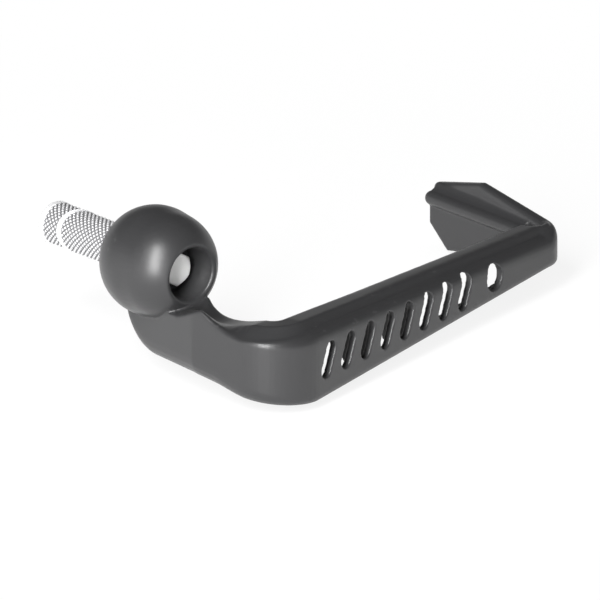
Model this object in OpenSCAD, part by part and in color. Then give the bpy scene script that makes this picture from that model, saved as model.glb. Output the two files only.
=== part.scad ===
/* [Bar end] */
// Diameter of the round bar end boss
boss_d = 35.5; // [34:0.5:40]
// Length of the boss along the bar axis
boss_len = 35.8; // [34:0.2:42]
// Radius that rounds both ends of the boss
boss_round = 16.5; // [15:0.5:17]
// Amount that the boss's outer end is narrower than its inboard end, on the radius
boss_taper = 0.6; // [0:0.1:1]
// Diameter of the flat face that butts against the handlebar
seat_d = 18; // [15:0.5:20]
// Diameter of the tool pocket at its mouth
pocket_d = 17; // [15.5:0.5:19]
// Diameter of the tool pocket at its floor, which clears a 10 mm socket wrench
pocket_floor_d = 15.4; // [14.6:0.1:15.4]
// Depth of the tool pocket, from where the boss would end without it
pocket_depth = 13.5; // [11:0.1:14]
// Radius of the rolled lip around the pocket mouth
lip_r = 1.1; // [0.6:0.1:1.5]

/* [Clamp] */
// Diameter of the clamping sleeve, which goes inside the handlebar
sleeve_d = 14; // [12:0.5:16]
// Length of the sleeve and wedge together, outside the boss
clamp_len = 35; // [30:1:45]
// Length of the wedge, measured along the bar axis
wedge_len = 12.5; // [10:0.5:16]
// Angle of the sliding face between sleeve and wedge, from square
wedge_angle = 24; // [15:1:30]
// Direction that the sliding face looks in, around the bar axis
wedge_turn = 247; // [0:1:359]
// Gap between the sliding faces before the screw is tightened
wedge_gap = 0.9; // [0.5:0.1:1.5]
// Diameter of the sleeve's spigot, which sits in the boss
spigot_d = 10; // [9:0.5:11]
// Depth that the spigot sits in the boss
spigot_len = 3; // [2:0.5:5]
// Diameter of the clamping screw's thread
screw_d = 6; // [5:0.5:6]
// Width across the flats of the screw's hexagonal head
head_flats = 10; // [9:0.5:11]
// Height of the screw's head
head_h = 4; // [3.5:0.5:5]
// Clearance of the screw's shank in the sleeve and boss, on the diameter
screw_clear = 0.6; // [0.4:0.1:1]
// Clearance of a piece in its socket, on the diameter
seat_clear = 0.1; // [0.06:0.02:0.3]
// Chamfer around the wedge's free end
wedge_chamfer = 0.8; // [0.4:0.1:1.2]

/* [Guard plan] */
// Distance of the near corner from the handlebar's end, along the bar
near_x = 82; // [78:1:92]
// Distance of the near corner in front of the bar axis
near_y = -3.3; // [-5:0.1:-1]
// Length of the side wall, from the near corner to the far corner
side_len = 160; // [140:1:175]
// Angle that the side wall leans inboard from straight forward
side_lean = 15.8; // [12:0.1:20]
// Angle of the arm to the bar axis, seen from above
arm_angle = 8; // [5:0.5:11]
// Outer radius of the near corner
near_round = 17; // [16:0.5:22]
// Outer radius of the far corner
far_round = 11; // [10:0.5:14]
// Length of the nose beyond the far corner
nose_len = 60.5; // [54:0.5:64]
// Depth of the arm, from its outer face inwards
arm_t = 15.5; // [14:0.5:17]
// Length of the arm that is bent inwards under the boss
facet_len = 37; // [30:1:40]
// Angle of that bend, seen from above
facet_angle = 14; // [8:1:16]
// Depth of the side wall's top, from its outer face inwards
side_t = 13.6; // [11:0.2:14]
// Depth of the side wall's top where it meets the far corner
far_t = 12.4; // [9:0.2:13]
// Thickness of the nose beside the far corner
nose_t = 5; // [3.5:0.1:6]
// Thickness of the nose at its tip
tip_t = 3.6; // [2.8:0.1:4]

/* [Guard heights] */
// Top of the guard at the near corner
near_top = -7.7; // [-10:0.1:-7]
// Bottom of the guard at the near corner
near_bottom = -35.4; // [-37:0.1:-31]
// Top of the side wall at the far corner
far_top = -14.9; // [-17:0.1:-13]
// Bottom of the side wall at the far corner
far_bottom = -27; // [-30:0.1:-25]
// Top of the nose at its peak
peak_top = -10.3; // [-12:0.1:-8]
// Lowest point of the nose
nose_bottom = -36.4; // [-39:0.1:-34]
// Amount that the outer half of the top falls towards the outer face
top_fall = 2.4; // [0:0.1:3]
// Radius of the arm's lower outer edge
arm_low_edge = 8.5; // [5:0.5:9]
// Radius of the side wall's lower outer edge
low_edge = 2.6; // [1.5:0.1:4]
// Radius of the side wall's upper outer edge
high_edge = 4.4; // [2:0.1:5]
// Radius of the guard's inner edges
inner_edge = 1.6; // [1:0.1:2]

/* [Hollow and slots] */
// Thickness of the side wall at the slots
wall = 2.6; // [2:0.1:3.4]
// Thickness of the flange along the top of the side wall
flange = 3.4; // [2.6:0.1:4]
// Height of the lip along the bottom of the side wall
foot = 3; // [2.4:0.1:4]
// Depth of that lip, from the outer face inwards
foot_depth = 5.2; // [4:0.1:7]
// Number of see-through slots
slots = 8; // [4:1:8]
// Width of a slot
slot_w = 5; // [3:0.1:6]
// Length of a slot, end to end
slot_len = 12; // [9:0.5:12.5]
// Angle that a slot leans forward from upright
slot_lean = 24; // [0:1:30]
// Distance of the first slot from the near corner
slot_start = 25; // [23:0.5:28]
// Distance from slot to slot
slot_pitch = 11; // [8:0.1:11.3]
// Diameter of the round hole at the end of the row
hole_d = 8.6; // [6:0.1:9]
// Distance of the round hole from the near corner
hole_at = 119; // [117:0.5:121]
// Number of cross ribs in the hollow
ribs = 2; // [0:1:3]
// Thickness of a cross rib
rib_t = 2; // [1.5:0.1:2.5]

/* [Nose bead] */
// Radius of the bead along the inside of the nose
bead_r = 2.4; // [1.6:0.1:2.6]
// Height of the bead's centre
bead_z = -19.6; // [-21:0.1:-18]
// Amount that the nose below the bead is thicker than above it
step = 3.2; // [2:0.1:3.6]

/* [Hidden] */
$fn = 96;
eps = 0.01;

// Boss, along the bar axis from the seat outboard
boss_r = boss_d / 2;
boss_flat = boss_r - boss_round;
seat_round_x = sqrt(pow(boss_round, 2) - pow(seat_d / 2 - boss_flat, 2));
outer_round_x = boss_len - boss_round;
head_seat = boss_len - pocket_depth;

// Clamp, along the bar axis and inboard of the seat
clamp_end = -clamp_len;
split_x = clamp_end + wedge_len;

// Plan of the guard: unit vectors of the arm, side wall and nose, each with its inward normal
function heading(a) = [cos(a), sin(a)];
function inward(a) = [-sin(a), cos(a)];
side_angle = 90 + side_lean;
nose_angle = 180;
near = [near_x, near_y];
far = near + side_len * heading(side_angle);
near_turn = side_angle - arm_angle;
far_turn = nose_angle - side_angle;
near_tangent = near_round * tan(near_turn / 2);
far_tangent = far_round * tan(far_turn / 2);
arm_root_x = 6.8;
arm_len = (near_x - arm_root_x) / cos(arm_angle);
side_straight = side_len - near_tangent - far_tangent;

function mix(a, b, t) = a + (b - a) * t;
function ease(t) = t * t * (3 - 2 * t);

// The nose rises to a peak, then falls to a blunt end whose lower corner is cut away
nose_edge = 1.2;
nose_peak = nose_len * 0.64;
nose_belly = nose_len * 0.84;
end_top = peak_top - 5.2;
end_bottom = nose_bottom + 7.4;

// A section: [plan point on the outer face, heading, depth,
//     inner top, outer top, bottom, upper edge, lower edge]
arm_rings = 26;
turn_rings = 16;
nose_rings = 12;

// Heights of the arm, by the distance back from the near corner: both top edges dip, then climb to the boss
dip_top = near_top - 4.6;
boss_join = -6;
in_from = near_tangent / 2;
in_dip = 35;
in_climb = 12;
out_dip = 17;
out_climb = 5.1;
function arm_top_in(u) =
    u < in_dip ? mix(near_top, dip_top, ease(max(0, (u - in_from) / (in_dip - in_from))))
    : u < in_dip + in_climb ? mix(boss_join, dip_top, sqrt(1 - pow((u - in_dip) / in_climb, 2)))
    : boss_join;
function arm_top_out(u) =
    u < out_dip ? mix(near_top - top_fall, dip_top, ease(u / out_dip))
    : min(boss_join, dip_top + out_climb * pow((u - out_dip) / out_dip, 2));

// The bottom of the arm is level under the boss, ends in a round heel, and falls towards the near corner
level_from = 40;
heel = 14;
heel_top = boss_join - 10;
arm_level = near_bottom + 5.2;
function arm_bottom(u) =
    u > arm_len - heel ? mix(heel_top, arm_level, sqrt(1 - pow((u - arm_len + heel) / heel, 2)))
    : mix(near_bottom, arm_level, min(1, u / level_from));
function arm_low(u) = mix(arm_low_edge * 0.6, arm_low_edge,
    ease(min(1, max(0, (u - near_tangent) / (level_from - near_tangent)))));
facet_from = arm_len - facet_len;
function arm_inset(u) = max(0, u - facet_from) * tan(facet_angle);
function arm_depth(u) = mix(arm_t, side_t, ease(max(0, 1 - u / facet_from))) - arm_inset(u) * 0.4;
arm_edge = 1.2;
arm_ring = [for (i = [0:arm_rings])
    let (u = arm_len - (arm_len - near_tangent) * pow(i / arm_rings, 1.35))
    [near - u * heading(arm_angle) + arm_inset(u) * inward(arm_angle), arm_angle, arm_depth(u),
        arm_top_in(u), arm_top_out(u), arm_bottom(u), arm_edge, arm_low(u)]];

near_centre = near - near_tangent * heading(arm_angle) + near_round * inward(arm_angle);
near_ring = [for (i = [1:turn_rings])
    let (a = arm_angle + near_turn * i / turn_rings, t = i / turn_rings, s = near_tangent)
    [near_centre - near_round * inward(a), a, mix(arm_depth(s), side_t, t),
        mix(arm_top_in(s), side_top(s), t), mix(arm_top_out(s), side_top(s) - top_fall, t),
        mix(arm_bottom(s), side_bottom(s), t),
        mix(arm_edge, high_edge, ease(t)), mix(arm_low(s), low_edge, ease(t))]];

function side_top(s) = mix(near_top, far_top, s / side_len);
function side_bottom(s) = mix(near_bottom, far_bottom, s / side_len);
function side_depth(s) = mix(side_t, far_t, s / side_len);
side_rings = 8;
side_ring = [for (i = [1:side_rings])
    let (s = near_tangent + side_straight * i / side_rings)
    [near + s * heading(side_angle), side_angle, side_depth(s), side_top(s), side_top(s) - top_fall,
        side_bottom(s), high_edge, low_edge]];

far_centre = far - far_tangent * heading(side_angle) + far_round * inward(side_angle);
far_ring = [for (i = [1:turn_rings])
    let (t = i / turn_rings, a = side_angle + far_turn * t, s = side_len - far_tangent, d = far_tangent)
    [far_centre - far_round * inward(a), a, mix(side_depth(s), nose_depth(d), ease(min(1, 1.3 * t))),
        mix(side_top(s), nose_top(d), t), mix(side_top(s) - top_fall, nose_top(d), t),
        mix(side_bottom(s), nose_low(d), t), mix(high_edge, nose_edge, ease(t)), mix(low_edge, nose_edge, t)]];

function nose_depth(d) = mix(nose_t, tip_t, min(1, d / nose_peak));
function nose_top(d) = d < nose_peak ? mix(far_top - 1.4, peak_top, d / nose_peak)
    : mix(peak_top, end_top, (d - nose_peak) / (nose_len - nose_peak));
function nose_low(d) = d < nose_belly ? mix(far_bottom, nose_bottom, ease(d / nose_belly))
    : mix(nose_bottom, end_bottom, (d - nose_belly) / (nose_len - nose_belly));
nose_ring = [for (i = [1:nose_rings])
    let (d = far_tangent + (nose_len - far_tangent) * i / nose_rings)
    [far + d * heading(nose_angle), nose_angle, nose_depth(d), nose_top(d), nose_top(d), nose_low(d),
        nose_edge, nose_edge]];

rings = concat(arm_ring, near_ring, side_ring, far_ring, nose_ring);

// Corner of a section: an arc of the radius about a centre, between two angles
edge_steps = 5;
function arc(c, r, a0) = [for (k = [0:edge_steps]) c + r * heading(a0 + 90 * k / edge_steps)];

// Outline of a section, with depth across and height up, starting at the lower outer edge
function outline(t, high, high_out, bottom, upper, lower) =
    let (u = min(upper, t * 0.45), l = min(lower, t * 0.45), e = min(inner_edge, t * 0.45))
    concat(arc([l, bottom + l], l, 180), arc([t - e, bottom + e], e, 270), arc([t - e, high - e], e, 0),
        [[t * 0.5, high]], arc([u, high_out - u], u, 90));

// The same section drawn in by an inset, for the rounded ends
function shrunk(ring, e) = [ring[0] + e * inward(ring[1]), ring[1], ring[2] - 2 * e, ring[3] - e, ring[4] - e,
    ring[5] + e, ring[6], ring[7]];
function moved(ring, d) = concat([ring[0] + d * heading(ring[1])], [for (k = [1:7]) ring[k]]);
function placed(ring) = [for (p = outline(ring[2], ring[3], ring[4], ring[5], ring[6], ring[7]))
    let (q = ring[0] + p[0] * inward(ring[1])) [q[0], q[1], p[1]]];

// A closed skin over a list of sections
module skin(list) {
    pts = [for (r = list) each placed(r)];
    n = len(placed(list[0]));
    m = len(list);
    sides = [for (i = [0:m - 2]) for (j = [0:n - 1]) let (k = (j + 1) % n)
        each [[i * n + j, (i + 1) * n + j, (i + 1) * n + k], [i * n + j, (i + 1) * n + k, i * n + k]]];
    start = [for (j = [0:n - 1]) j];
    finish = [for (j = [n - 1:-1:0]) (m - 1) * n + j];
    polyhedron(points = pts, faces = concat(sides, [start, finish]), convexity = 6);
}

// The swept arm, side wall and nose, with a rounded tip
end_round = 1;
module sweep() {
    last = rings[len(rings) - 1];
    tip = [for (k = [1:3]) shrunk(moved(last, end_round * sin(30 * k)), end_round * (1 - cos(30 * k)))];
    skin(concat(rings, tip));
}

// Half outline of the boss: radius across, length along. A cone joins the two rounded ends
outer_flat = boss_flat - boss_taper;
boss_cone = atan(boss_taper / (outer_round_x - seat_round_x));
module boss_outline() {
    side = boss_round * [cos(boss_cone), sin(boss_cone)];
    translate([boss_flat, seat_round_x]) circle(boss_round);
    translate([outer_flat, outer_round_x]) circle(boss_round);
    polygon([[0, seat_round_x], [boss_flat, seat_round_x] + side,
        [outer_flat, outer_round_x] + side, [0, outer_round_x]]);
    square([outer_flat, boss_len]);
}

module boss() {
    along() rotate_extrude() intersection() {
        boss_outline();
        square([boss_d, boss_len]);
    }
}

// Turns things drawn along Z so that they run along the bar axis
module along() {
    rotate([0, 90, 0]) children();
}

// Place on the side wall: a distance from the near corner, along its outer face
module on_side(s) {
    p = near + s * heading(side_angle);
    translate([p[0], p[1], 0]) rotate([0, 0, side_angle]) children();
}

// Block behind the side wall, between two distances and from a depth on, with its heights at both ends
module side_block(from, to, depth, low, high) {
    deep = side_t + 6;
    floor_points = [[from, depth, low[0]], [to, depth, low[1]], [to, deep, low[1]], [from, deep, low[0]]];
    roof_points = [[from, depth, high[0]], [to, depth, high[1]], [to, deep, high[1]], [from, deep, high[0]]];
    on_side(0) polyhedron(points = concat(floor_points, roof_points),
        faces = [[0, 1, 2, 3], [7, 6, 5, 4], [4, 5, 1, 0], [5, 6, 2, 1], [6, 7, 3, 2], [7, 4, 0, 3]]);
}

// The hollow leaves a flange along the top, a narrower lip along the bottom, and a rib between two slots
hollow_from = near_tangent + 3;
hollow_to = side_len - far_tangent - 6;
function rib_at(k) = slot_start + (round(k * slots / (ribs + 1)) - 0.5) * slot_pitch;
module hollow() {
    for (k = [0:ribs]) {
        from = k == 0 ? hollow_from : rib_at(k) + rib_t / 2;
        to = k == ribs ? hollow_to : rib_at(k + 1) - rib_t / 2;
        low = [side_bottom(from), side_bottom(to)];
        high = [side_top(from), side_top(to)];
        side_block(from, to, wall, low + [foot, foot], high - [flange, flange]);
        side_block(from, to, foot_depth, low - [2, 2], low + [foot + 2, foot + 2]);
    }
}

// Middle height of the side wall
function side_mid(s) = (side_top(s) + side_bottom(s)) / 2;

module slot_shape() {
    reach = (slot_len - slot_w) / 2;
    rotate(-slot_lean) {
        for (end = [-1, 1]) translate([0, end * reach]) circle(d = slot_w);
        square([slot_w, 2 * reach], center = true);
    }
}

// Cuts through the side wall, from outside it to inside the hollow
module side_cuts() {
    for (i = [0:slots - 1])
        let (s = slot_start + i * slot_pitch)
        on_side(s) translate([0, wall + 3, side_mid(s)]) rotate([90, 0, 0])
            linear_extrude(wall + 6) slot_shape();
    on_side(hole_at) translate([0, wall + 3, side_mid(hole_at)]) rotate([90, 0, 0])
        cylinder(d = hole_d, h = wall + 6);
}

// Bead along the inside of the nose, and the thicker face below it
nose_face = far[1] - tip_t;
bead_from = far[0] - nose_len + bead_r - 0.8;
bead_to = far[0] - far_round - bead_r;
module nose_bead() {
    translate([bead_from, nose_face - step + 0.8, bead_z]) {
        rotate([0, 90, 0]) cylinder(r = bead_r, h = bead_to - bead_from);
        sphere(bead_r);
    }
    end_x = far[0] - nose_len + end_round;
    belly_x = far[0] - nose_belly;
    translate([0, nose_face + 1, 0]) rotate([90, 0, 0]) linear_extrude(step + 1)
        polygon([[end_x, bead_z], [end_x, end_bottom + 1], [belly_x, nose_bottom + 1],
            [bead_to, far_bottom - 1.5], [bead_to, bead_z]]);
    translate([end_x, nose_face, bead_z]) rotate([90, 0, 90]) linear_extrude(bead_to - end_x)
        polygon([[1, 0], [1, 2 * bead_r], [0, 2 * bead_r], [-step * 0.35, bead_r * 1.4],
            [-step, bead_r * 0.8], [-step, 0]]);
}

// Openings on the bar axis: tool pocket, shank hole and the sleeve's socket
module boss_bores() {
    along() {
        translate([0, 0, head_seat]) cylinder(d1 = pocket_floor_d, d2 = pocket_d, h = mouth_x - head_seat);
        translate([0, 0, mouth_x - eps]) cylinder(d = pocket_d, h = boss_len - mouth_x + 1);
        translate([0, 0, -1]) cylinder(d = screw_d + screw_clear, h = boss_len - 2);
        translate([0, 0, -1]) cylinder(d = spigot_d + seat_clear, h = spigot_len + 1);
    }
}

// The rolled lip around the mouth runs smoothly into the boss and into the pocket
lip_centre = pocket_d / 2 + lip_r;
mouth_x = outer_round_x + sqrt(pow(boss_round - lip_r, 2) - pow(lip_centre - outer_flat, 2));
lip_meets = outer_flat + (lip_centre - outer_flat) * boss_round / (boss_round - lip_r);
module mouth_lip() {
    along() translate([0, 0, mouth_x]) rotate_extrude() translate([lip_centre, 0]) circle(lip_r);
}

module guard() {
    color([0.2, 0.2, 0.21]) difference() {
        union() {
            difference() {
                union() {
                    boss();
                    sweep();
                    nose_bead();
                }
                hollow();
                side_cuts();
                along() translate([0, 0, mouth_x]) cylinder(r = lip_meets, h = boss_len - mouth_x + 1);
            }
            mouth_lip();
        }
        boss_bores();
    }
}

// Everything inboard of the sliding face, which is moved along the axis by an offset
module inboard_of_split(offset) {
    translate([0, 0, split_x + offset]) rotate([0, 0, wedge_turn]) rotate([0, wedge_angle, 0])
        translate([0, 0, -clamp_len]) cube([4 * sleeve_d, 4 * sleeve_d, 2 * clamp_len], center = true);
}

module clamp_sleeve() {
    color([0.85, 0.85, 0.86]) along() difference() {
        union() {
            translate([0, 0, clamp_end]) cylinder(d = sleeve_d, h = clamp_len);
            cylinder(d = spigot_d, h = spigot_len);
        }
        translate([0, 0, clamp_end - 1]) cylinder(d = screw_d + screw_clear, h = clamp_len + spigot_len + 2);
        inboard_of_split(wedge_gap);
    }
}

// Wedge with the screw's thread, chamfered so that it enters the handlebar
module clamp_wedge() {
    color([0.85, 0.85, 0.86]) along() intersection() {
        difference() {
            union() {
                translate([0, 0, clamp_end])
                    cylinder(r1 = sleeve_d / 2 - wedge_chamfer, r2 = sleeve_d / 2, h = wedge_chamfer);
                translate([0, 0, clamp_end + wedge_chamfer])
                    cylinder(d = sleeve_d, h = clamp_len - wedge_chamfer);
            }
            translate([0, 0, clamp_end - 1]) cylinder(d = screw_d + seat_clear, h = clamp_len + 2);
        }
        inboard_of_split(0);
    }
}

// Screw with a hexagonal head, which bears on the pocket's floor, and an end inside the wedge
screw_end = clamp_end + 1.5;
head_r = head_flats / 2 / cos(30);
face_r = head_flats * 0.475;
module clamp_screw() {
    color([0.9, 0.9, 0.9]) along() {
        translate([0, 0, screw_end]) cylinder(d = screw_d, h = head_seat - screw_end + eps);
        translate([0, 0, head_seat]) intersection() {
            cylinder(r = head_r, h = head_h, $fn = 6);
            rotate_extrude() polygon([[0, 0], [head_r, 0], [head_r, head_h - (head_r - face_r) * tan(30)],
                [face_r, head_h], [0, head_h]]);
        }
    }
}

guard();
clamp_sleeve();
clamp_wedge();
clamp_screw();
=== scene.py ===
"""Brake lever guard for a motorcycle handlebar, dressed for a plain studio picture.

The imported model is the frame. Lengths are in metres, with +X outboard along the handlebar, +Y forward
and +Z up. The origin is on the handlebar's axis, where the guard's round boss meets the bar's end.
"""

import logging
import math
from dataclasses import dataclass, field
from enum import Enum
from typing import Iterable, Sequence

import bmesh
import bpy
import numpy as np
from mathutils import Matrix, Vector


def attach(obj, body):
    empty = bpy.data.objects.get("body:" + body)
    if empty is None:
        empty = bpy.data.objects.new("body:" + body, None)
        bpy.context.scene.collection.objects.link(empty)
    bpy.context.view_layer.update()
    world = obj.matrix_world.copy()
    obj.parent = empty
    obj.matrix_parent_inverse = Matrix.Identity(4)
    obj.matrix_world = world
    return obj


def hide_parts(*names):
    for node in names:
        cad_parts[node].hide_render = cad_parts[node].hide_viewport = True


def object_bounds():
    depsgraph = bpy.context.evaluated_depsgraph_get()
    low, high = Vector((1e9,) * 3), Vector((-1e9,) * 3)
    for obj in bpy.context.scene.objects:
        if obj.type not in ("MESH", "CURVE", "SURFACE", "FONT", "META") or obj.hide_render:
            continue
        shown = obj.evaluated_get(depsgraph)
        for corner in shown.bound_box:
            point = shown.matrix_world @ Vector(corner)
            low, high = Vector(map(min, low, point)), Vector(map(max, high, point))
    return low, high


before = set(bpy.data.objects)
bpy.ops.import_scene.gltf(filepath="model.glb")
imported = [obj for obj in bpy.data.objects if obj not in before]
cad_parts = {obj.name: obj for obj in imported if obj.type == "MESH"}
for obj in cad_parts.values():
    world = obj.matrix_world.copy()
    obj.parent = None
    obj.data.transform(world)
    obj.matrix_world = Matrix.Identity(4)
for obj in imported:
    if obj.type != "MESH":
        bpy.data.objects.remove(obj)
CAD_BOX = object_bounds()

MM = 0.001
log = logging.getLogger("brake_lever_guard")

Triple = tuple[float, float, float]
Pair = tuple[float, float]


class Node(str, Enum):
    """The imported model's nodes."""

    GUARD = "guard"
    SLEEVE = "clamp_sleeve"
    WEDGE = "clamp_wedge"
    SCREW = "clamp_screw"


class Slot(str, Enum):
    """The record's material slots."""

    NYLON = "moulded_nylon"
    ALUMINIUM = "turned_aluminium"
    STEEL = "plated_steel"


BODY = "root"
GROOVE = "groove"
ROUNDING = 0.01


# Shader node groups


Term = bpy.types.NodeSocket | float


def math_node(tree: bpy.types.NodeTree, operation: str, terms: Sequence[Term]) -> bpy.types.NodeSocket:
    """Adds a Math node.

    Args:
        tree: The node tree that it goes in.
        operation: The Math node's operation.
        terms: Its inputs in order, each a socket or a number.

    Returns:
        The node's output.
    """
    node = tree.nodes.new("ShaderNodeMath")
    node.operation = operation
    for slot, term in zip(node.inputs, terms):
        if isinstance(term, (int, float)):
            slot.default_value = term
        else:
            tree.links.new(term, slot)
    return node.outputs[0]


class EffectGroup:
    """A shader node group that several finishes share, with number inputs and outputs."""

    def __init__(self, name: str, inputs: dict[str, float], outputs: Sequence[str]) -> None:
        """Makes the empty group.

        Args:
            name: The group's name.
            inputs: Each input's label and its usual value.
            outputs: Each output's label.
        """
        self.tree = bpy.data.node_groups.new(name, "ShaderNodeTree")
        for label, value in inputs.items():
            socket = self.tree.interface.new_socket(label, in_out="INPUT", socket_type="NodeSocketFloat")
            socket.default_value = value
        for label in outputs:
            self.tree.interface.new_socket(label, in_out="OUTPUT", socket_type="NodeSocketFloat")
        self.given = self.tree.nodes.new("NodeGroupInput")
        self.result = self.tree.nodes.new("NodeGroupOutput")
        self.place = self.tree.nodes.new("ShaderNodeTexCoord")

    def maths(self, operation: str, *terms: Term) -> bpy.types.NodeSocket:
        """Adds a Math node to the group and gives its output."""
        return math_node(self.tree, operation, terms)

    def noise(
        self, size: bpy.types.NodeSocket, detail: float, stretch: Triple = (1.0, 1.0, 1.0)
    ) -> bpy.types.NodeSocket:
        """Adds noise that is fixed to the piece.

        Args:
            size: The size of one lump, in metres.
            detail: The noise's finer octaves.
            stretch: How much finer the noise is along each axis.

        Returns:
            The noise's value, from 0 to 1.
        """
        shape = self.tree.nodes.new("ShaderNodeVectorMath")
        shape.operation = "MULTIPLY"
        shape.inputs[1].default_value = stretch
        self.tree.links.new(self.place.outputs["Object"], shape.inputs[0])
        texture = self.tree.nodes.new("ShaderNodeTexNoise")
        texture.inputs["Detail"].default_value = detail
        self.tree.links.new(shape.outputs[0], texture.inputs["Vector"])
        self.tree.links.new(self.maths("DIVIDE", 1.0, size), texture.inputs["Scale"])
        return texture.outputs["Fac"]

    def put_out(self, label: str, socket: bpy.types.NodeSocket) -> None:
        """Sends a socket to one of the group's outputs.

        Args:
            label: The output's label.
            socket: The value that it gives.
        """
        self.tree.links.new(socket, self.result.inputs[label])


class Effects:
    """The shared surface effects, each built once."""

    def __init__(self) -> None:
        """Builds every group."""
        self.grain = self._grain()
        self.handling = self._handling()
        # The mask for the highlight painted on outward edges.
        self.edges = self._edge_highlight_group()
        # The mask for the shade painted into knurl grooves and thread roots.
        self.crests = self._groove_shade_mask()
        self.turning = self._turning()

    @staticmethod
    def _grain() -> EffectGroup:
        """The fine grain that a spark-eroded mould leaves on plastic.

        Returns:
            The group, which puts out its height and its speckle.
        """
        group = EffectGroup("mould_grain", {"Size": 0.5 * MM}, ["Height", "Speckle"])
        size = group.given.outputs["Size"]
        fine_size, fine_share = 0.35, 0.4
        coarse = group.noise(size, 1.0)
        fine = group.noise(group.maths("MULTIPLY", size, fine_size), 2.0)
        lumps = group.maths("MULTIPLY", coarse, 1 - fine_share)
        specks = group.maths("MULTIPLY", fine, fine_share)
        group.put_out("Height", group.maths("ADD", lumps, specks))
        group.put_out("Speckle", group.maths("SUBTRACT", fine, 0.5))
        return group

    @staticmethod
    def _handling() -> EffectGroup:
        """Broad, soft differences in sheen, as a handled surface has.

        Returns:
            The group, which puts out a shift of the roughness.
        """
        group = EffectGroup("handling", {"Size": 18 * MM, "Amount": 0.08}, ["Shift"])
        lumps = group.noise(group.given.outputs["Size"], 3.0)
        centred = group.maths("SUBTRACT", lumps, 0.5)
        group.put_out("Shift", group.maths("MULTIPLY", centred, group.given.outputs["Amount"]))
        return group

    @staticmethod
    def _edge_highlight_group() -> EffectGroup:
        """A mask over outward edges, where a painted highlight makes them paler than the faces beside them.

        Returns:
            The group, which puts out the mask.
        """
        group = EffectGroup("painted_edge_highlight", {"From": 0.53, "To": 0.62}, ["Mask"])
        geometry = group.tree.nodes.new("ShaderNodeNewGeometry")
        rise = group.tree.nodes.new("ShaderNodeMapRange")
        rise.interpolation_type = "SMOOTHSTEP"
        group.tree.links.new(geometry.outputs["Pointiness"], rise.inputs["Value"])
        group.tree.links.new(group.given.outputs["From"], rise.inputs["From Min"])
        group.tree.links.new(group.given.outputs["To"], rise.inputs["From Max"])
        group.put_out("Mask", rise.outputs["Result"])
        return group

    @staticmethod
    def _groove_shade_mask() -> EffectGroup:
        """A mask that is 1 on the crests and plain faces of a cut surface, and 0 deep in its grooves, where
        the finishes paint shade.

        Returns:
            The group, which puts out the mask.
        """
        group = EffectGroup("crests", {"Reach": 1.0}, ["Mask"])
        depth = group.tree.nodes.new("ShaderNodeAttribute")
        depth.attribute_name = GROOVE
        share = group.maths("MULTIPLY", depth.outputs["Fac"], group.given.outputs["Reach"])
        group.put_out("Mask", group.maths("SUBTRACT", 1.0, group.maths("MINIMUM", share, 1.0)))
        return group

    @staticmethod
    def _turning() -> EffectGroup:
        """The fine rings that a lathe tool leaves round the bar axis.

        Returns:
            The group, which puts out their height.
        """
        group = EffectGroup("turning", {"Ring": 0.16 * MM}, ["Height"])
        round_the_axis = (1.0, 0.02, 0.02)
        group.put_out("Height", group.noise(group.given.outputs["Ring"], 1.0, round_the_axis))
        return group


class Surface:
    """A material being built round one Principled BSDF."""

    def __init__(self, name: str, colour: Triple, roughness: float, metallic: float = 0.0) -> None:
        """Makes the material with its plain values.

        Args:
            name: The material's name.
            colour: The base colour.
            roughness: The roughness.
            metallic: 1 for bare metal.
        """
        self.material = bpy.data.materials.new(name)
        self.material.use_nodes = True
        self.tree = self.material.node_tree
        self.shader = self.tree.nodes["Principled BSDF"]
        self.shader.inputs["Base Color"].default_value = (*colour, 1.0)
        self.shader.inputs["Roughness"].default_value = roughness
        self.shader.inputs["Metallic"].default_value = metallic

    def effect(self, group: EffectGroup, **values: float) -> bpy.types.ShaderNodeGroup:
        """Places a shared effect in this material.

        Args:
            group: The effect.
            values: Its inputs, with _ for a space in a label.

        Returns:
            The group's node.
        """
        node = self.tree.nodes.new("ShaderNodeGroup")
        node.node_tree = group.tree
        for label, value in values.items():
            node.inputs[label.replace("_", " ")].default_value = value
        return node

    def colours(self, mask: bpy.types.NodeSocket, low: Triple, high: Triple) -> bpy.types.NodeSocket:
        """Mixes two colours.

        Args:
            mask: 0 for the low colour and 1 for the high one.
            low: The colour where the mask is 0.
            high: The colour where the mask is 1.

        Returns:
            The mixed colour.
        """
        node = self.tree.nodes.new("ShaderNodeMix")
        node.data_type = "RGBA"
        colour_inputs = [socket for socket in node.inputs if socket.type == "RGBA"]
        for socket, colour in zip(colour_inputs, (low, high)):
            socket.default_value = (*colour, 1.0)
        self.tree.links.new(mask, node.inputs["Factor"])
        return next(socket for socket in node.outputs if socket.type == "RGBA")

    def maths(self, operation: str, *terms: Term) -> bpy.types.NodeSocket:
        """Adds a Math node to the material and gives its output."""
        return math_node(self.tree, operation, terms)

    def feed(self, label: str, socket: bpy.types.NodeSocket) -> None:
        """Sends a socket to one of the shader's inputs.

        Args:
            label: The shader's input.
            socket: What feeds it.
        """
        self.tree.links.new(socket, self.shader.inputs[label])

    def bump(self, height: bpy.types.NodeSocket, depth: float, strength: float) -> None:
        """Raises the surface by a height.

        Args:
            height: The height, from 0 to 1.
            depth: What 1 stands for, in metres.
            strength: How much of it shows.
        """
        node = self.tree.nodes.new("ShaderNodeBump")
        node.inputs["Distance"].default_value = depth
        node.inputs["Strength"].default_value = strength
        self.tree.links.new(height, node.inputs["Height"])
        self.feed("Normal", node.outputs["Normal"])


# Finishes


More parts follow.
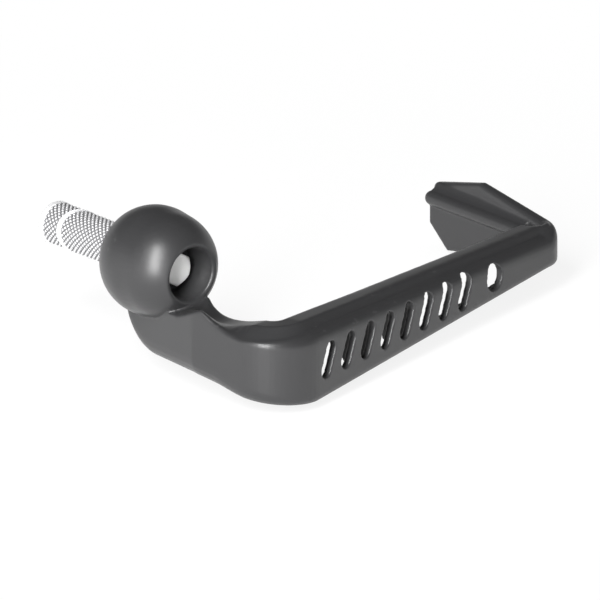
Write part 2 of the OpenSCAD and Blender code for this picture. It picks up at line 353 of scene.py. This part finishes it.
@dataclass(frozen=True)
class MouldedNylon:
    """Dark grey glass-filled nylon with a fine satin grain, and a highlight painted paler on its outward
    edges.
    """

    colour: Triple = (0.025, 0.025, 0.026)
    # The paler colour of the highlight painted on outward edges.
    edge_highlight_colour: Triple = (0.040, 0.040, 0.041)
    roughness: float = 0.37
    specular: float = 0.5
    grain: float = 0.55 * MM
    grain_depth: float = 0.02 * MM
    grain_strength: float = 0.5
    speckle_colour: float = 0.5
    speckle_roughness: float = 0.10
    handling: float = 16 * MM
    handling_amount: float = 0.10
    highlight_from_to: Pair = (0.52, 0.60)

    def material(self, effects: Effects) -> bpy.types.Material:
        """Builds the material.

        Args:
            effects: The shared effects.

        Returns:
            The material.
        """
        surface = Surface("satin_nylon", self.colour, self.roughness)
        surface.shader.inputs["Specular IOR Level"].default_value = self.specular
        grain = surface.effect(effects.grain, Size=self.grain)
        handling = surface.effect(effects.handling, Size=self.handling, Amount=self.handling_amount)
        edges = surface.effect(effects.edges, From=self.highlight_from_to[0], To=self.highlight_from_to[1])
        speckle = surface.maths("MULTIPLY", grain.outputs["Speckle"], self.speckle_colour)
        # The painted edge highlight and the grain's speckle both move the colour towards the paler one.
        mask = surface.maths("ADD", edges.outputs["Mask"], speckle)
        surface.feed("Base Color", surface.colours(mask, self.colour, self.edge_highlight_colour))
        shift = surface.maths("ADD", handling.outputs["Shift"], self.roughness)
        dull = surface.maths("MULTIPLY", grain.outputs["Speckle"], self.speckle_roughness)
        surface.feed("Roughness", surface.maths("ADD", shift, dull))
        surface.bump(grain.outputs["Height"], self.grain_depth, self.grain_strength)
        return surface.material


@dataclass(frozen=True)
class KnurledAluminium:
    """Bare turned aluminium, bright on a knurl's crests, with shade painted dark into its grooves, which are
    also rougher.
    """

    crest_colour: Triple = (0.92, 0.92, 0.93)
    # Painted shade in the knurl's grooves.
    groove_shade_colour: Triple = (0.10, 0.10, 0.105)
    roughness: float = 0.42
    metallic: float = 0.5
    groove_reach: float = 1.1
    groove_dullness: float = 0.25
    handling: float = 3 * MM
    handling_amount: float = 0.12
    tool_rings: float = 0.12 * MM
    ring_depth: float = 0.02 * MM
    ring_strength: float = 0.3

    def material(self, effects: Effects) -> bpy.types.Material:
        """Builds the material.

        Args:
            effects: The shared effects.

        Returns:
            The material.
        """
        surface = Surface("knurled_aluminium", self.crest_colour, self.roughness, self.metallic)
        crests = surface.effect(effects.crests, Reach=self.groove_reach)
        handling = surface.effect(effects.handling, Size=self.handling, Amount=self.handling_amount)
        rings = surface.effect(effects.turning, Ring=self.tool_rings)
        # The grooves get the painted shade colour.
        mask = crests.outputs["Mask"]
        surface.feed("Base Color", surface.colours(mask, self.groove_shade_colour, self.crest_colour))
        dull = surface.maths("MULTIPLY", surface.maths("SUBTRACT", 1.0, mask), self.groove_dullness)
        shift = surface.maths("ADD", handling.outputs["Shift"], self.roughness)
        surface.feed("Roughness", surface.maths("ADD", shift, dull))
        surface.bump(rings.outputs["Height"], self.ring_depth, self.ring_strength)
        return surface.material


@dataclass(frozen=True)
class PlatedSteel:
    """Pale matt zinc plating over steel, with shade painted dark into the thread roots."""

    colour: Triple = (0.95, 0.95, 0.94)
    # Painted shade in the thread roots.
    root_shade_colour: Triple = (0.30, 0.30, 0.30)
    roughness: float = 0.48
    metallic: float = 0.35
    handling: float = 2.2 * MM
    handling_amount: float = 0.16
    grain: float = 0.25 * MM
    grain_depth: float = 0.01 * MM
    grain_strength: float = 0.35

    def material(self, effects: Effects) -> bpy.types.Material:
        """Builds the material.

        Args:
            effects: The shared effects.

        Returns:
            The material.
        """
        surface = Surface("plated_steel", self.colour, self.roughness, self.metallic)
        crests = surface.effect(effects.crests, Reach=1.0)
        handling = surface.effect(effects.handling, Size=self.handling, Amount=self.handling_amount)
        grain = surface.effect(effects.grain, Size=self.grain)
        # The thread roots get the painted shade colour.
        surface.feed("Base Color", surface.colours(crests.outputs["Mask"], self.root_shade_colour, self.colour))
        surface.feed("Roughness", surface.maths("ADD", handling.outputs["Shift"], self.roughness))
        surface.bump(grain.outputs["Height"], self.grain_depth, self.grain_strength)
        return surface.material


@dataclass(frozen=True)
class PaleFloor:
    """A plain white floor that keeps a soft shadow near the object and fades to white away from it."""

    colour: Triple = (0.92, 0.92, 0.92)
    shadow_share: float = 0.16
    fade_from: float = 0.10
    fade_to: float = 0.32
    centre: Triple = (0.02, 0.07, 0.0)

    def material(self) -> bpy.types.Material:
        """Builds the material.

        Returns:
            The material.
        """
        material = bpy.data.materials.new("pale_floor")
        material.use_nodes = True
        tree = material.node_tree
        tree.nodes.clear()
        out = tree.nodes.new("ShaderNodeOutputMaterial")
        diffuse = tree.nodes.new("ShaderNodeBsdfDiffuse")
        diffuse.inputs["Color"].default_value = (*self.colour, 1.0)
        white = tree.nodes.new("ShaderNodeEmission")
        white.inputs["Strength"].default_value = 1.0
        mix = tree.nodes.new("ShaderNodeMixShader")
        path = tree.nodes.new("ShaderNodeLightPath")
        place = tree.nodes.new("ShaderNodeTexCoord")
        away = tree.nodes.new("ShaderNodeVectorMath")
        away.operation = "DISTANCE"
        away.inputs[1].default_value = self.centre
        fade = tree.nodes.new("ShaderNodeMapRange")
        fade.interpolation_type = "SMOOTHSTEP"
        fade.inputs["From Min"].default_value = self.fade_from
        fade.inputs["From Max"].default_value = self.fade_to
        fade.inputs["To Min"].default_value = 1.0 - self.shadow_share
        seen = tree.nodes.new("ShaderNodeMath")
        seen.operation = "MULTIPLY"
        for start, end in (
            (place.outputs["Object"], away.inputs[0]),
            (away.outputs["Value"], fade.inputs["Value"]),
            (fade.outputs["Result"], seen.inputs[0]),
            (path.outputs["Is Camera Ray"], seen.inputs[1]),
            (seen.outputs[0], mix.inputs[0]),
            (diffuse.outputs[0], mix.inputs[1]),
            (white.outputs[0], mix.inputs[2]),
            (mix.outputs[0], out.inputs["Surface"]),
        ):
            tree.links.new(start, end)
        return material


# Mesh helpers


def mesh_object(name: str, mesh: bpy.types.Mesh) -> bpy.types.Object:
    """Puts a mesh in the scene.

    Args:
        name: The object's name.
        mesh: Its mesh, placed in the row frame.

    Returns:
        The object.
    """
    mesh.name = name
    piece = bpy.data.objects.new(name, mesh)
    bpy.context.scene.collection.objects.link(piece)
    return piece


def plain_mesh(name: str, mesh: bmesh.types.BMesh) -> bpy.types.Mesh:
    """Turns an edited mesh into a plain one.

    Args:
        name: The plain mesh's name.
        mesh: The edited mesh, which is freed.

    Returns:
        The plain mesh.
    """
    data = bpy.data.meshes.new(name)
    mesh.to_mesh(data)
    mesh.free()
    return data


def points_of(mesh: bpy.types.Mesh) -> np.ndarray:
    """Reads a mesh's points.

    Args:
        mesh: The mesh.

    Returns:
        The points, one row each.
    """
    points = np.zeros(len(mesh.vertices) * 3, np.float32)
    mesh.vertices.foreach_get("co", points)
    return points.reshape(-1, 3)


def baked(piece: bpy.types.Object) -> bpy.types.Mesh:
    """Gives a piece's mesh with its modifiers applied."""
    graph = bpy.context.evaluated_depsgraph_get()
    return bpy.data.meshes.new_from_object(piece.evaluated_get(graph))


def shade(mesh: bpy.types.Mesh, sharp: float) -> None:
    """Shades a mesh smooth, apart from its sharp edges.

    Args:
        mesh: The mesh.
        sharp: The angle in degrees from which an edge stays sharp.
    """
    mesh.polygons.foreach_set("use_smooth", np.ones(len(mesh.polygons), bool))
    mesh.set_sharp_from_angle(angle=math.radians(sharp))


def ramp(values: np.ndarray, start: float, end: float) -> np.ndarray:
    """Rises smoothly from 0 to 1.

    Args:
        values: Where it is read.
        start: Where it is 0, which may lie above the end.
        end: Where it is 1.

    Returns:
        The ramp's value at each place.
    """
    share = np.clip((values - start) / (end - start), 0.0, 1.0)
    return share * share * (3 - 2 * share)


def angles(columns: int) -> np.ndarray:
    """The angle of each column round the bar axis."""
    return np.arange(columns) * 2 * math.pi / columns


def ring(x: float, radius: float | np.ndarray, columns: int) -> np.ndarray:
    """Points of one ring round the bar axis.

    Args:
        x: Its place along the axis.
        radius: Its radius, the same all round or one for each column.
        columns: The number of points.

    Returns:
        The points, one row each.
    """
    angle = angles(columns)
    return np.stack([np.full(columns, x), radius * np.cos(angle), radius * np.sin(angle)], axis=1)


def lofted(rings: Sequence[Sequence[Triple]], tube: bool) -> bmesh.types.BMesh:
    """Joins rings of points into a closed surface.

    Args:
        rings: The rings in order, each with the same number of points.
        tube: Whether the last ring joins the first. Otherwise each end gets a face.

    Returns:
        The surface.
    """
    mesh = bmesh.new()
    rows = [[mesh.verts.new(point) for point in points] for points in rings]
    columns = len(rows[0])
    pairs = list(zip(rows, rows[1:])) + ([(rows[-1], rows[0])] if tube else [])
    for first, second in pairs:
        for j in range(columns):
            k = (j + 1) % columns
            mesh.faces.new((first[j], first[k], second[k], second[j]))
    if not tube:
        mesh.faces.new(rows[0][::-1])
        mesh.faces.new(rows[-1])
    bmesh.ops.recalc_face_normals(mesh, faces=mesh.faces)
    return mesh


# The pieces


@dataclass(frozen=True)
class Shoulder:
    """Where the arm passes in front of the boss: its top falls away from the pocket's lip.

    The boss is turned from a large arc and a small one at its lip. Each middle is a place along the bar
    axis and a distance from it. The outline is the cut's side view, as X and Z, and the rises are how much
    higher it lies at each Y.
    """

    boss_middle: Pair = (19.3 * MM, 0.65 * MM)
    boss_round: float = 16.53 * MM
    lip_middle: Pair = (31.83 * MM, 9.6 * MM)
    lip_round: float = 1.13 * MM
    arc: Pair = (120.0, 35.54)
    arc_steps: int = 47
    lip_steps: int = 8
    columns: int = 128
    outline: Sequence[Pair] = (
        (24.0 * MM, -12.7 * MM),
        (34.5 * MM, -11.4 * MM),
        (60.0 * MM, -0.4 * MM),
        (60.0 * MM, 20.0 * MM),
        (24.0 * MM, 20.0 * MM),
    )
    rises: Sequence[Pair] = ((-26.0 * MM, 0.0), (-8.0 * MM, 0.0), (14.0 * MM, 4.2 * MM))
    soft_x: Pair = (35.2 * MM, 62.0 * MM)
    soft_z: Pair = (-17.0 * MM, -13.5 * MM)
    fade: Pair = (2.0 * MM, 8.0 * MM)

    def boss(self) -> bpy.types.Object:
        """Turns the boss and its lip as one body, which the cut stays clear of.

        Returns:
            The body.
        """
        start, join = np.radians(self.arc)
        arcs = (
            (self.boss_middle, self.boss_round, np.linspace(start, join, self.arc_steps + 1)),
            (self.lip_middle, self.lip_round, np.linspace(join, 0.0, self.lip_steps + 1)[1:]),
        )
        rings = [
            ring(along + radius * math.cos(angle), out + radius * math.sin(angle), self.columns)
            for (along, out), radius, turns in arcs
            for angle in turns
        ]
        return mesh_object("boss_keeper", plain_mesh("boss", lofted(rings, tube=False)))

    def slab(self) -> bpy.types.Object:
        """The space above the arm's lowered top."""
        rows = [[(x, y, z + rise) for x, z in self.outline] for y, rise in self.rises]
        return mesh_object("shoulder_slab", plain_mesh("slab", lofted(rows, tube=False)))

    @staticmethod
    def without(piece: bpy.types.Object, taken: bpy.types.Object) -> bpy.types.Object:
        """Takes one body away from another.

        Args:
            piece: The body that is cut, which goes.
            taken: The body that is taken away, which goes too.

        Returns:
            What is left.
        """
        cut = piece.modifiers.new("taken_away", "BOOLEAN")
        cut.operation = "DIFFERENCE"
        cut.solver = "EXACT"
        cut.object = taken
        left = mesh_object(piece.name + "_cut", baked(piece))
        for spent in (piece, taken):
            bpy.data.objects.remove(spent)
        return left

    def lower(self, piece: bpy.types.Object) -> bpy.types.Object:
        """Brings the arm's top down to the lip's lower edge.

        Args:
            piece: The rough moulding, which goes.

        Returns:
            The moulding with its arm lowered.
        """
        return self.without(piece, self.without(self.slab(), self.boss()))

    def softness(self, points: np.ndarray) -> np.ndarray:
        """Says how much each point is smoothed, which is most on the arm's top.

        Args:
            points: The moulding's points, one row each.

        Returns:
            Each point's share, from 0 to 1.
        """
        x, _, z = points.T
        inboard, outboard = self.soft_x
        from_boss = ramp(x, inboard - self.fade[0], inboard)
        to_corner = ramp(x, outboard, outboard - self.fade[1])
        return from_boss * to_corner * ramp(z, *self.soft_z)


@dataclass
class GuardMoulding:
    """The one-piece moulding: boss, arm, slotted side wall and nose, with small moulded radii."""

    finish: MouldedNylon = field(default_factory=MouldedNylon)
    shoulder: Shoulder = field(default_factory=Shoulder)
    cell: float = 0.35 * MM
    smoothing: int = 8
    top_smoothing: int = 60
    softness_levels: int = 5
    triangles: int = 190000
    sharp: float = 180.0

    def build(self) -> bpy.types.Object:
        """Rounds the solid's edges and facets as a mould does.

        Returns:
            The guard.
        """
        solid = mesh_object("guard_rough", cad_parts[Node.GUARD.value].data.copy())
        rough = self.shoulder.lower(solid)
        remesh = rough.modifiers.new("even_skin", "REMESH")
        remesh.mode = "VOXEL"
        remesh.voxel_size = self.cell
        even = mesh_object("guard_even", baked(rough))
        bpy.data.objects.remove(rough)
        self.relax(even, self.smoothing)
        self.relax(even, self.top_smoothing, self.mark_top(even))
        thin = even.modifiers.new("fewer_triangles", "DECIMATE")
        thin.ratio = min(1.0, self.triangles / (2 * len(even.data.polygons)))
        mesh = baked(even)
        bpy.data.objects.remove(even)
        mesh.materials.clear()
        shade(mesh, self.sharp)
        return mesh_object("guard_moulding", mesh)

    def mark_top(self, piece: bpy.types.Object) -> str:
        """Marks the arm's top with a vertex group.

        Args:
            piece: The evenly meshed moulding.

        Returns:
            The group's name.
        """
        group = piece.vertex_groups.new(name="arm_top")
        softness = self.shoulder.softness(points_of(piece.data))
        step = 1 / self.softness_levels
        for level in np.linspace(step, 1.0, self.softness_levels):
            near_level = np.nonzero(np.abs(softness - level) <= step / 2)[0]
            group.add(near_level.tolist(), float(level), "REPLACE")
        return group.name

    @staticmethod
    def relax(piece: bpy.types.Object, rounds: int, group: str = "") -> None:
        """Adds a smoothing modifier.

        Args:
            piece: The piece that is smoothed.
            rounds: How many times it is smoothed.
            group: The vertex group that it is kept to, or an empty name.
        """
        relax = piece.modifiers.new("moulded_radii", "SMOOTH")
        relax.factor = 0.5
        relax.iterations = rounds
        relax.vertex_group = group

    def dress(self, effects: Effects) -> bpy.types.Object:
        """Builds the guard and gives it its finish."""
        piece = self.build()
        return settle(piece, self.finish.material(effects), Node.GUARD)


@dataclass(frozen=True)
class Knurl:
    """A diamond knurl: two families of grooves that cross, with plain bands where it stops."""

    pitch: float = 1.86 * MM
    starts: int = 24
    depth: float = 0.42 * MM
    samples: int = 8
    run_out: float = 0.35 * MM

    @property
    def columns(self) -> int:
        """The number of points round a ring."""
        return self.starts * self.samples

    def depths(self, x: float, plain: np.ndarray) -> np.ndarray:
        """Depth of the surface below the crests round one ring.

        Args:
            x: The ring's place along the axis.
            plain: Distance of each column from the nearest plain band, in metres.

        Returns:
            The depth for each column.
        """
        turn = np.arange(self.columns) / self.columns * self.starts
        ridges = [1 - np.abs(2 * np.mod(x / self.pitch + side * turn, 1.0) - 1) for side in (1, -1)]
        height = np.minimum(*ridges)
        return self.depth * (1 - height) * np.clip(plain / self.run_out, 0.0, 1.0)


@dataclass(frozen=True)
class SlidingFace:
    """The oblique face where the wedge slides on the sleeve when the screw is tightened."""

    x: float = -22.5 * MM
    lean: float = 24.0
    turn: float = 247.0
    gap: float = 0.9 * MM
    band: float = 0.25 * MM

    @property
    def normal(self) -> Vector:
        """The direction that the wedge's face looks in."""
        lean, turn = math.radians(self.lean), math.radians(self.turn)
        return Vector((math.cos(lean), math.sin(lean) * math.sin(turn), -math.sin(lean) * math.cos(turn)))

    def distance(self, points: np.ndarray, offset: float) -> np.ndarray:
        """How far points are outboard of the face.

        Args:
            points: The points, one row each.
            offset: How far the face is moved along the axis.

        Returns:
            The distance of each point, negative inboard of the face.
        """
        return (points - np.array([self.x + offset, 0.0, 0.0])) @ np.array(self.normal)

    def trim(self, mesh: bmesh.types.BMesh, offset: float, keep_outboard: bool) -> None:
        """Cuts a tube at the face and closes the cut.

        Args:
            mesh: The tube.
            offset: How far the face is moved along the axis.
            keep_outboard: Whether the outboard part stays.
        """
        cut = bmesh.ops.bisect_plane(
            mesh,
            geom=mesh.verts[:] + mesh.edges[:] + mesh.faces[:],
            plane_co=(self.x + offset, 0.0, 0.0),
            plane_no=self.normal,
            clear_inner=keep_outboard,
            clear_outer=not keep_outboard,
        )
        rim = [item for item in cut["geom_cut"] if isinstance(item, bmesh.types.BMEdge)]
        bmesh.ops.triangle_fill(mesh, edges=rim, use_beauty=True, use_dissolve=False)
        bmesh.ops.recalc_face_normals(mesh, faces=mesh.faces)


@dataclass
class ClampSleeve:
    """The knurled sleeve that fills the handlebar's bore, with a spigot that sits in the boss."""

    finish: KnurledAluminium = field(default_factory=KnurledAluminium)
    knurl: Knurl = field(default_factory=Knurl)
    face: SlidingFace = field(default_factory=SlidingFace)
    radius: float = 7.0 * MM
    bore: float = 3.3 * MM
    spigot: float = 5.0 * MM
    spigot_length: float = 3.0 * MM
    inboard: float = -32.0 * MM
    plain: float = 0.9 * MM
    chamfer: float = 0.25 * MM
    sharp: float = 32.0

    def build(self) -> bpy.types.Object:
        """Turns, knurls and cuts the sleeve.

        Returns:
            The sleeve.
        """
        columns = self.knurl.columns
        step = self.knurl.pitch / self.knurl.samples
        rings = [
            ring(self.inboard, self.bore, columns),
            ring(self.spigot_length, self.bore, columns),
            ring(self.spigot_length, self.spigot - self.chamfer, columns),
            ring(self.spigot_length - self.chamfer, self.spigot, columns),
            ring(0.0, self.spigot, columns),
            ring(0.0, self.radius - self.chamfer, columns),
            ring(-self.chamfer, self.radius, columns),
        ]
        for i in range(math.ceil(self.chamfer / step) + 1, int(-self.inboard / step)):
            x = -i * step
            points = ring(x, self.radius, columns)
            from_face = self.face.distance(points, self.face.gap) - self.face.band
            plain = np.minimum(-x - self.plain, from_face)
            rings.append(ring(x, self.radius - self.knurl.depths(x, plain), columns))
        rings.append(ring(self.inboard, self.radius, columns))
        mesh = lofted(rings, tube=True)
        self.face.trim(mesh, self.face.gap, keep_outboard=True)
        return finished("clamp_sleeve_knurled", mesh, self.sharp, self.radius, self.knurl.depth)

    def dress(self, effects: Effects) -> bpy.types.Object:
        """Builds the sleeve and gives it its finish."""
        return settle(self.build(), self.finish.material(effects), Node.SLEEVE)


@dataclass
class ClampWedge:
    """The knurled wedge, which the screw draws along the sleeve's sliding face."""

    finish: KnurledAluminium = field(default_factory=KnurledAluminium)
    knurl: Knurl = field(default_factory=Knurl)
    face: SlidingFace = field(default_factory=SlidingFace)
    radius: float = 7.0 * MM
    bore: float = 3.05 * MM
    end: float = -35.0 * MM
    outboard: float = -14.0 * MM
    plain: float = 2.0 * MM
    rounding: float = 0.8 * MM
    rounding_steps: int = 5
    sharp: float = 32.0

    def build(self) -> bpy.types.Object:
        """Turns, knurls and cuts the wedge.

        Returns:
            The wedge.
        """
        columns = self.knurl.columns
        step = self.knurl.pitch / self.knurl.samples
        rings = [ring(self.outboard, self.bore, columns), ring(self.end, self.bore, columns)]
        for k in range(self.rounding_steps, -1, -1):
            angle = math.pi / 2 * k / self.rounding_steps
            x = self.end + self.rounding * (1 - math.sin(angle))
            rings.append(ring(x, self.radius - self.rounding * (1 - math.cos(angle)), columns))
        first = math.ceil((self.end + self.rounding) / step) + 1
        for i in range(first, int(self.outboard / step)):
            x = i * step
            points = ring(x, self.radius, columns)
            from_face = -self.face.distance(points, 0.0) - self.face.band
            plain = np.minimum(x - self.end - self.plain, from_face)
            rings.append(ring(x, self.radius - self.knurl.depths(x, plain), columns))
        rings.append(ring(self.outboard, self.radius, columns))
        mesh = lofted(rings, tube=True)
        self.face.trim(mesh, 0.0, keep_outboard=False)
        return finished("clamp_wedge_knurled", mesh, self.sharp, self.radius, self.knurl.depth)

    def dress(self, effects: Effects) -> bpy.types.Object:
        """Builds the wedge and gives it its finish."""
        return settle(self.build(), self.finish.material(effects), Node.WEDGE)


@dataclass
class ClampScrew:
    """The hexagon-headed screw through the boss and sleeve into the wedge."""

    finish: PlatedSteel = field(default_factory=PlatedSteel)
    radius: float = 3.0 * MM
    pitch: float = 1.0 * MM
    thread_depth: float = 0.55 * MM
    thread_root: float = 0.1
    thread_flank: float = 0.75
    shank_slack: float = 0.02 * MM
    crest_slack: float = 0.03 * MM
    tip_share: float = 0.5
    end: float = -33.5 * MM
    thread_to: float = -2.0 * MM
    seat: float = 22.3 * MM
    flats: float = 10.0 * MM
    head: float = 4.0 * MM
    head_chamfer: float = 30.0
    face_radius: float = 4.75 * MM
    face_steps: Sequence[Pair] = ((0.04 * MM, 0.06 * MM), (0.0, 0.25 * MM), (0.01 * MM, 2.375 * MM))
    edge: float = 0.12 * MM
    bevel_share: float = 0.6
    columns: int = 96
    samples: int = 8
    sharp: float = 24.0

    def hexagon(self, inset: float) -> np.ndarray:
        """Radius of the head's six-sided outline, with a corner pointing down.

        Args:
            inset: How far the outline is drawn in.

        Returns:
            The radius for each column.
        """
        half_side = math.pi / 6
        from_corner = np.mod(angles(self.columns), 2 * half_side)
        off_flat = half_side - np.abs(from_corner - half_side)
        outline = (self.flats / 2 - inset) / np.cos(off_flat)
        return np.minimum(outline, self.flats / 2 / math.cos(half_side) - self.edge - inset)

    def thread(self) -> list[np.ndarray]:
        """Makes the shank's rings.

        Returns:
            The rings, from the screw's tip to under its head.
        """
        turn = np.arange(self.columns) / self.columns
        root = self.radius - self.thread_depth
        rings = [ring(self.end, root * self.tip_share, self.columns), ring(self.end, root, self.columns)]
        step = self.pitch / self.samples
        for i in range(1, int((self.thread_to - self.end) / step)):
            x = self.end + i * step
            wave = np.abs(2 * np.mod(x / self.pitch - turn, 1.0) - 1)
            height = np.clip((wave - self.thread_root) / self.thread_flank, 0.0, 1.0)
            run_in = min(1.0, i / self.samples)
            rings.append(ring(x, root + self.thread_depth * height * run_in, self.columns))
        for x in (self.thread_to + self.thread_depth, self.seat):
            rings.append(ring(x, self.radius - self.shank_slack, self.columns))
        return rings

    def hexagonal_head(self) -> list[np.ndarray]:
        """Makes the head's rings.

        Returns:
            The rings, from the head's seat to the middle of its face.
        """
        top = self.seat + self.head
        slope = math.tan(math.radians(self.head_chamfer))
        chamfer = np.maximum(0.0, self.hexagon(0.0) - self.face_radius) * slope
        shoulder = ring(0.0, self.hexagon(0.0), self.columns)
        shoulder[:, 0] = top - chamfer - self.edge
        bevel = ring(0.0, self.hexagon(self.edge), self.columns)
        drawn_up = self.edge * (1 - self.bevel_share)
        bevel[:, 0] = top - np.maximum(self.edge * self.bevel_share, chamfer - drawn_up)
        return [
            ring(self.seat, self.hexagon(2 * self.edge), self.columns),
            ring(self.seat + self.edge, self.hexagon(0.0), self.columns),
            shoulder,
            bevel,
            *(ring(top - down, self.face_radius - inset, self.columns) for down, inset in self.face_steps),
        ]

    def build(self) -> bpy.types.Object:
        """Makes the threaded shank and the chamfered head.

        Returns:
            The screw.
        """
        mesh = lofted([*self.thread(), *self.hexagonal_head()], tube=False)
        crest = self.radius - self.crest_slack
        return finished("clamp_screw_hexagon", mesh, self.sharp, crest, self.thread_depth)

    def dress(self, effects: Effects) -> bpy.types.Object:
        """Builds the screw and gives it its finish."""
        return settle(self.build(), self.finish.material(effects), Node.SCREW)


def finished(name: str, mesh: bmesh.types.BMesh, sharp: float, crest: float, deep: float) -> bpy.types.Object:
    """Turns an edited mesh into a piece, and notes how deep each point lies in a groove.

    Args:
        name: The piece's name.
        mesh: The edited mesh, which is freed.
        sharp: The angle in degrees from which an edge stays sharp.
        crest: The radius of the grooves' crests.
        deep: The depth of the grooves.

    Returns:
        The piece.
    """
    data = plain_mesh(name, mesh)
    _, y, z = points_of(data).T
    below = (crest - np.hypot(y, z)) / deep
    below[(below < 0) | (below > 1 + ROUNDING)] = 0.0
    # The finishes paint shade into the grooves from this depth.
    data.attributes.new(GROOVE, "FLOAT", "POINT").data.foreach_set("value", below.astype(np.float32))
    shade(data, sharp)
    return mesh_object(name, data)


def settle(piece: bpy.types.Object, material: bpy.types.Material, node: Node) -> bpy.types.Object:
    """Puts a finished piece on the frame in place of its node.

    Args:
        piece: The piece, placed in the row frame.
        material: Its finish.
        node: The node that it stands for.

    Returns:
        The piece.
    """
    piece.data.materials.append(material)
    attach(piece, BODY)
    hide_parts(node.value)
    return piece


# The studio


@dataclass(frozen=True)
class Softbox:
    """A rectangular lamp that looks at the object, with its longer side upright."""

    name: str
    direction: Triple
    distance: float
    width: float
    height: float
    watts: float

    def build(self, aim: Vector) -> None:
        """Hangs the lamp.

        Args:
            aim: The point that it looks at.
        """
        data = bpy.data.lights.new(self.name, "AREA")
        data.shape = "RECTANGLE"
        data.size, data.size_y = self.width, self.height
        data.energy = self.watts
        lamp = bpy.data.objects.new(self.name, data)
        bpy.context.scene.collection.objects.link(lamp)
        way = Vector(self.direction).normalized()
        lamp.location = aim + way * self.distance
        lamp.rotation_euler = way.to_track_quat("Z", "Y").to_euler()


@dataclass
class Studio:
    """The floor, the surrounding white and the lamps."""

    floor: PaleFloor = field(default_factory=PaleFloor)
    floor_gap: float = 0.3 * MM
    floor_size: float = 8.0
    ambient: float = 0.42
    ceiling: float = 0.05
    ceiling_from_to: Pair = (0.02, 0.4)
    lamps: Sequence[Softbox] = (
        Softbox("front_strip", (0.45, -0.78, 0.45), distance=1.3, width=0.30, height=1.3, watts=40.0),
        Softbox("left_box", (-0.30, -0.94, 0.15), distance=1.5, width=1.2, height=0.9, watts=1.5),
    )

    def build_floor(self, height: float) -> bpy.types.Object:
        """Lays the floor.

        Args:
            height: The height of its surface.

        Returns:
            The floor.
        """
        mesh = bmesh.new()
        bmesh.ops.create_grid(mesh, x_segments=8, y_segments=8, size=self.floor_size / 2)
        data = plain_mesh("floor", mesh)
        data.transform(Matrix.Translation((0.0, 0.0, height)))
        piece = mesh_object("floor", data)
        piece.data.materials.append(self.floor.material())
        return piece

    def build_world(self) -> None:
        """Surrounds the scene with white, which lights it at a plain level."""
        world = bpy.data.worlds.new("white_room")
        bpy.context.scene.world = world
        world.use_nodes = True
        tree = world.node_tree
        background = tree.nodes["Background"]
        background.inputs["Color"].default_value = (1.0, 1.0, 1.0, 1.0)
        path = tree.nodes.new("ShaderNodeLightPath")
        seen = tree.nodes.new("ShaderNodeMath")
        seen.operation = "MAXIMUM"
        looked_at = tree.nodes.new("ShaderNodeMath")
        looked_at.operation = "MAXIMUM"
        level = tree.nodes.new("ShaderNodeMapRange")
        level.inputs["To Min"].default_value = self.ambient
        way = tree.nodes.new("ShaderNodeTexCoord")
        rise = tree.nodes.new("ShaderNodeSeparateXYZ")
        ceiling = tree.nodes.new("ShaderNodeMapRange")
        ceiling.interpolation_type = "SMOOTHSTEP"
        rises, levels = self.ceiling_from_to, (1.0, self.ceiling)
        for label, value in zip(("From Min", "From Max", "To Min", "To Max"), rises + levels):
            ceiling.inputs[label].default_value = value
        for start, end in (
            (path.outputs["Is Camera Ray"], seen.inputs[0]),
            (path.outputs["Is Glossy Ray"], seen.inputs[1]),
            (seen.outputs[0], looked_at.inputs[0]),
            (path.outputs["Is Transmission Ray"], looked_at.inputs[1]),
            (looked_at.outputs[0], level.inputs["Value"]),
            (way.outputs["Generated"], rise.inputs[0]),
            (rise.outputs["Z"], ceiling.inputs["Value"]),
            (ceiling.outputs["Result"], level.inputs["To Max"]),
            (level.outputs["Result"], background.inputs["Strength"]),
        ):
            tree.links.new(start, end)

    def build(self, aim: Vector) -> None:
        """Builds the whole studio.

        Args:
            aim: The point that the lamps look at.
        """
        self.build_world()
        self.build_floor(CAD_BOX[0].z - self.floor_gap)
        for lamp in self.lamps:
            lamp.build(aim)


@dataclass
class PhotographCamera:
    """The camera, at the photograph's direction and framing."""

    target: Triple = (34.6 * MM, 42.8 * MM, -17.35 * MM)
    right: Triple = (0.6428, 0.7660, 0.0)
    up: Triple = (-0.2494, 0.2093, 0.9455)
    back: Triple = (0.7243, -0.6078, 0.3256)
    frame_width: float = 189.3 * MM
    distance: float = 5.0
    sensor: float = 36.0
    clip: Pair = (0.1, 50.0)

    def build(self) -> bpy.types.Object:
        """Sets up the scene's camera.

        Returns:
            The camera.
        """
        data = bpy.data.cameras.new("camera")
        data.sensor_width = self.sensor
        data.lens = self.sensor * self.distance / self.frame_width
        data.clip_start, data.clip_end = self.clip
        camera = bpy.data.objects.new("camera", data)
        bpy.context.scene.collection.objects.link(camera)
        turn = Matrix((self.right, self.up, self.back)).transposed()
        place = Vector(self.target) + self.distance * Vector(self.back)
        camera.matrix_world = Matrix.LocRotScale(place, turn, None)
        bpy.context.scene.camera = camera
        return camera


def main() -> None:
    """Builds the pieces in order and puts them in the studio."""
    logging.basicConfig(level=logging.INFO, format="%(name)s: %(message)s")
    bpy.context.scene.view_settings.view_transform = "Standard"
    camera = PhotographCamera()
    camera.build()
    effects = Effects()
    for maker in (GuardMoulding(), ClampSleeve(), ClampWedge(), ClampScrew()):
        piece = maker.dress(effects)
        log.info("%s: %d faces", piece.name, len(piece.data.polygons))
    Studio().build(Vector(camera.target))


if __name__ == "__main__":
    main()
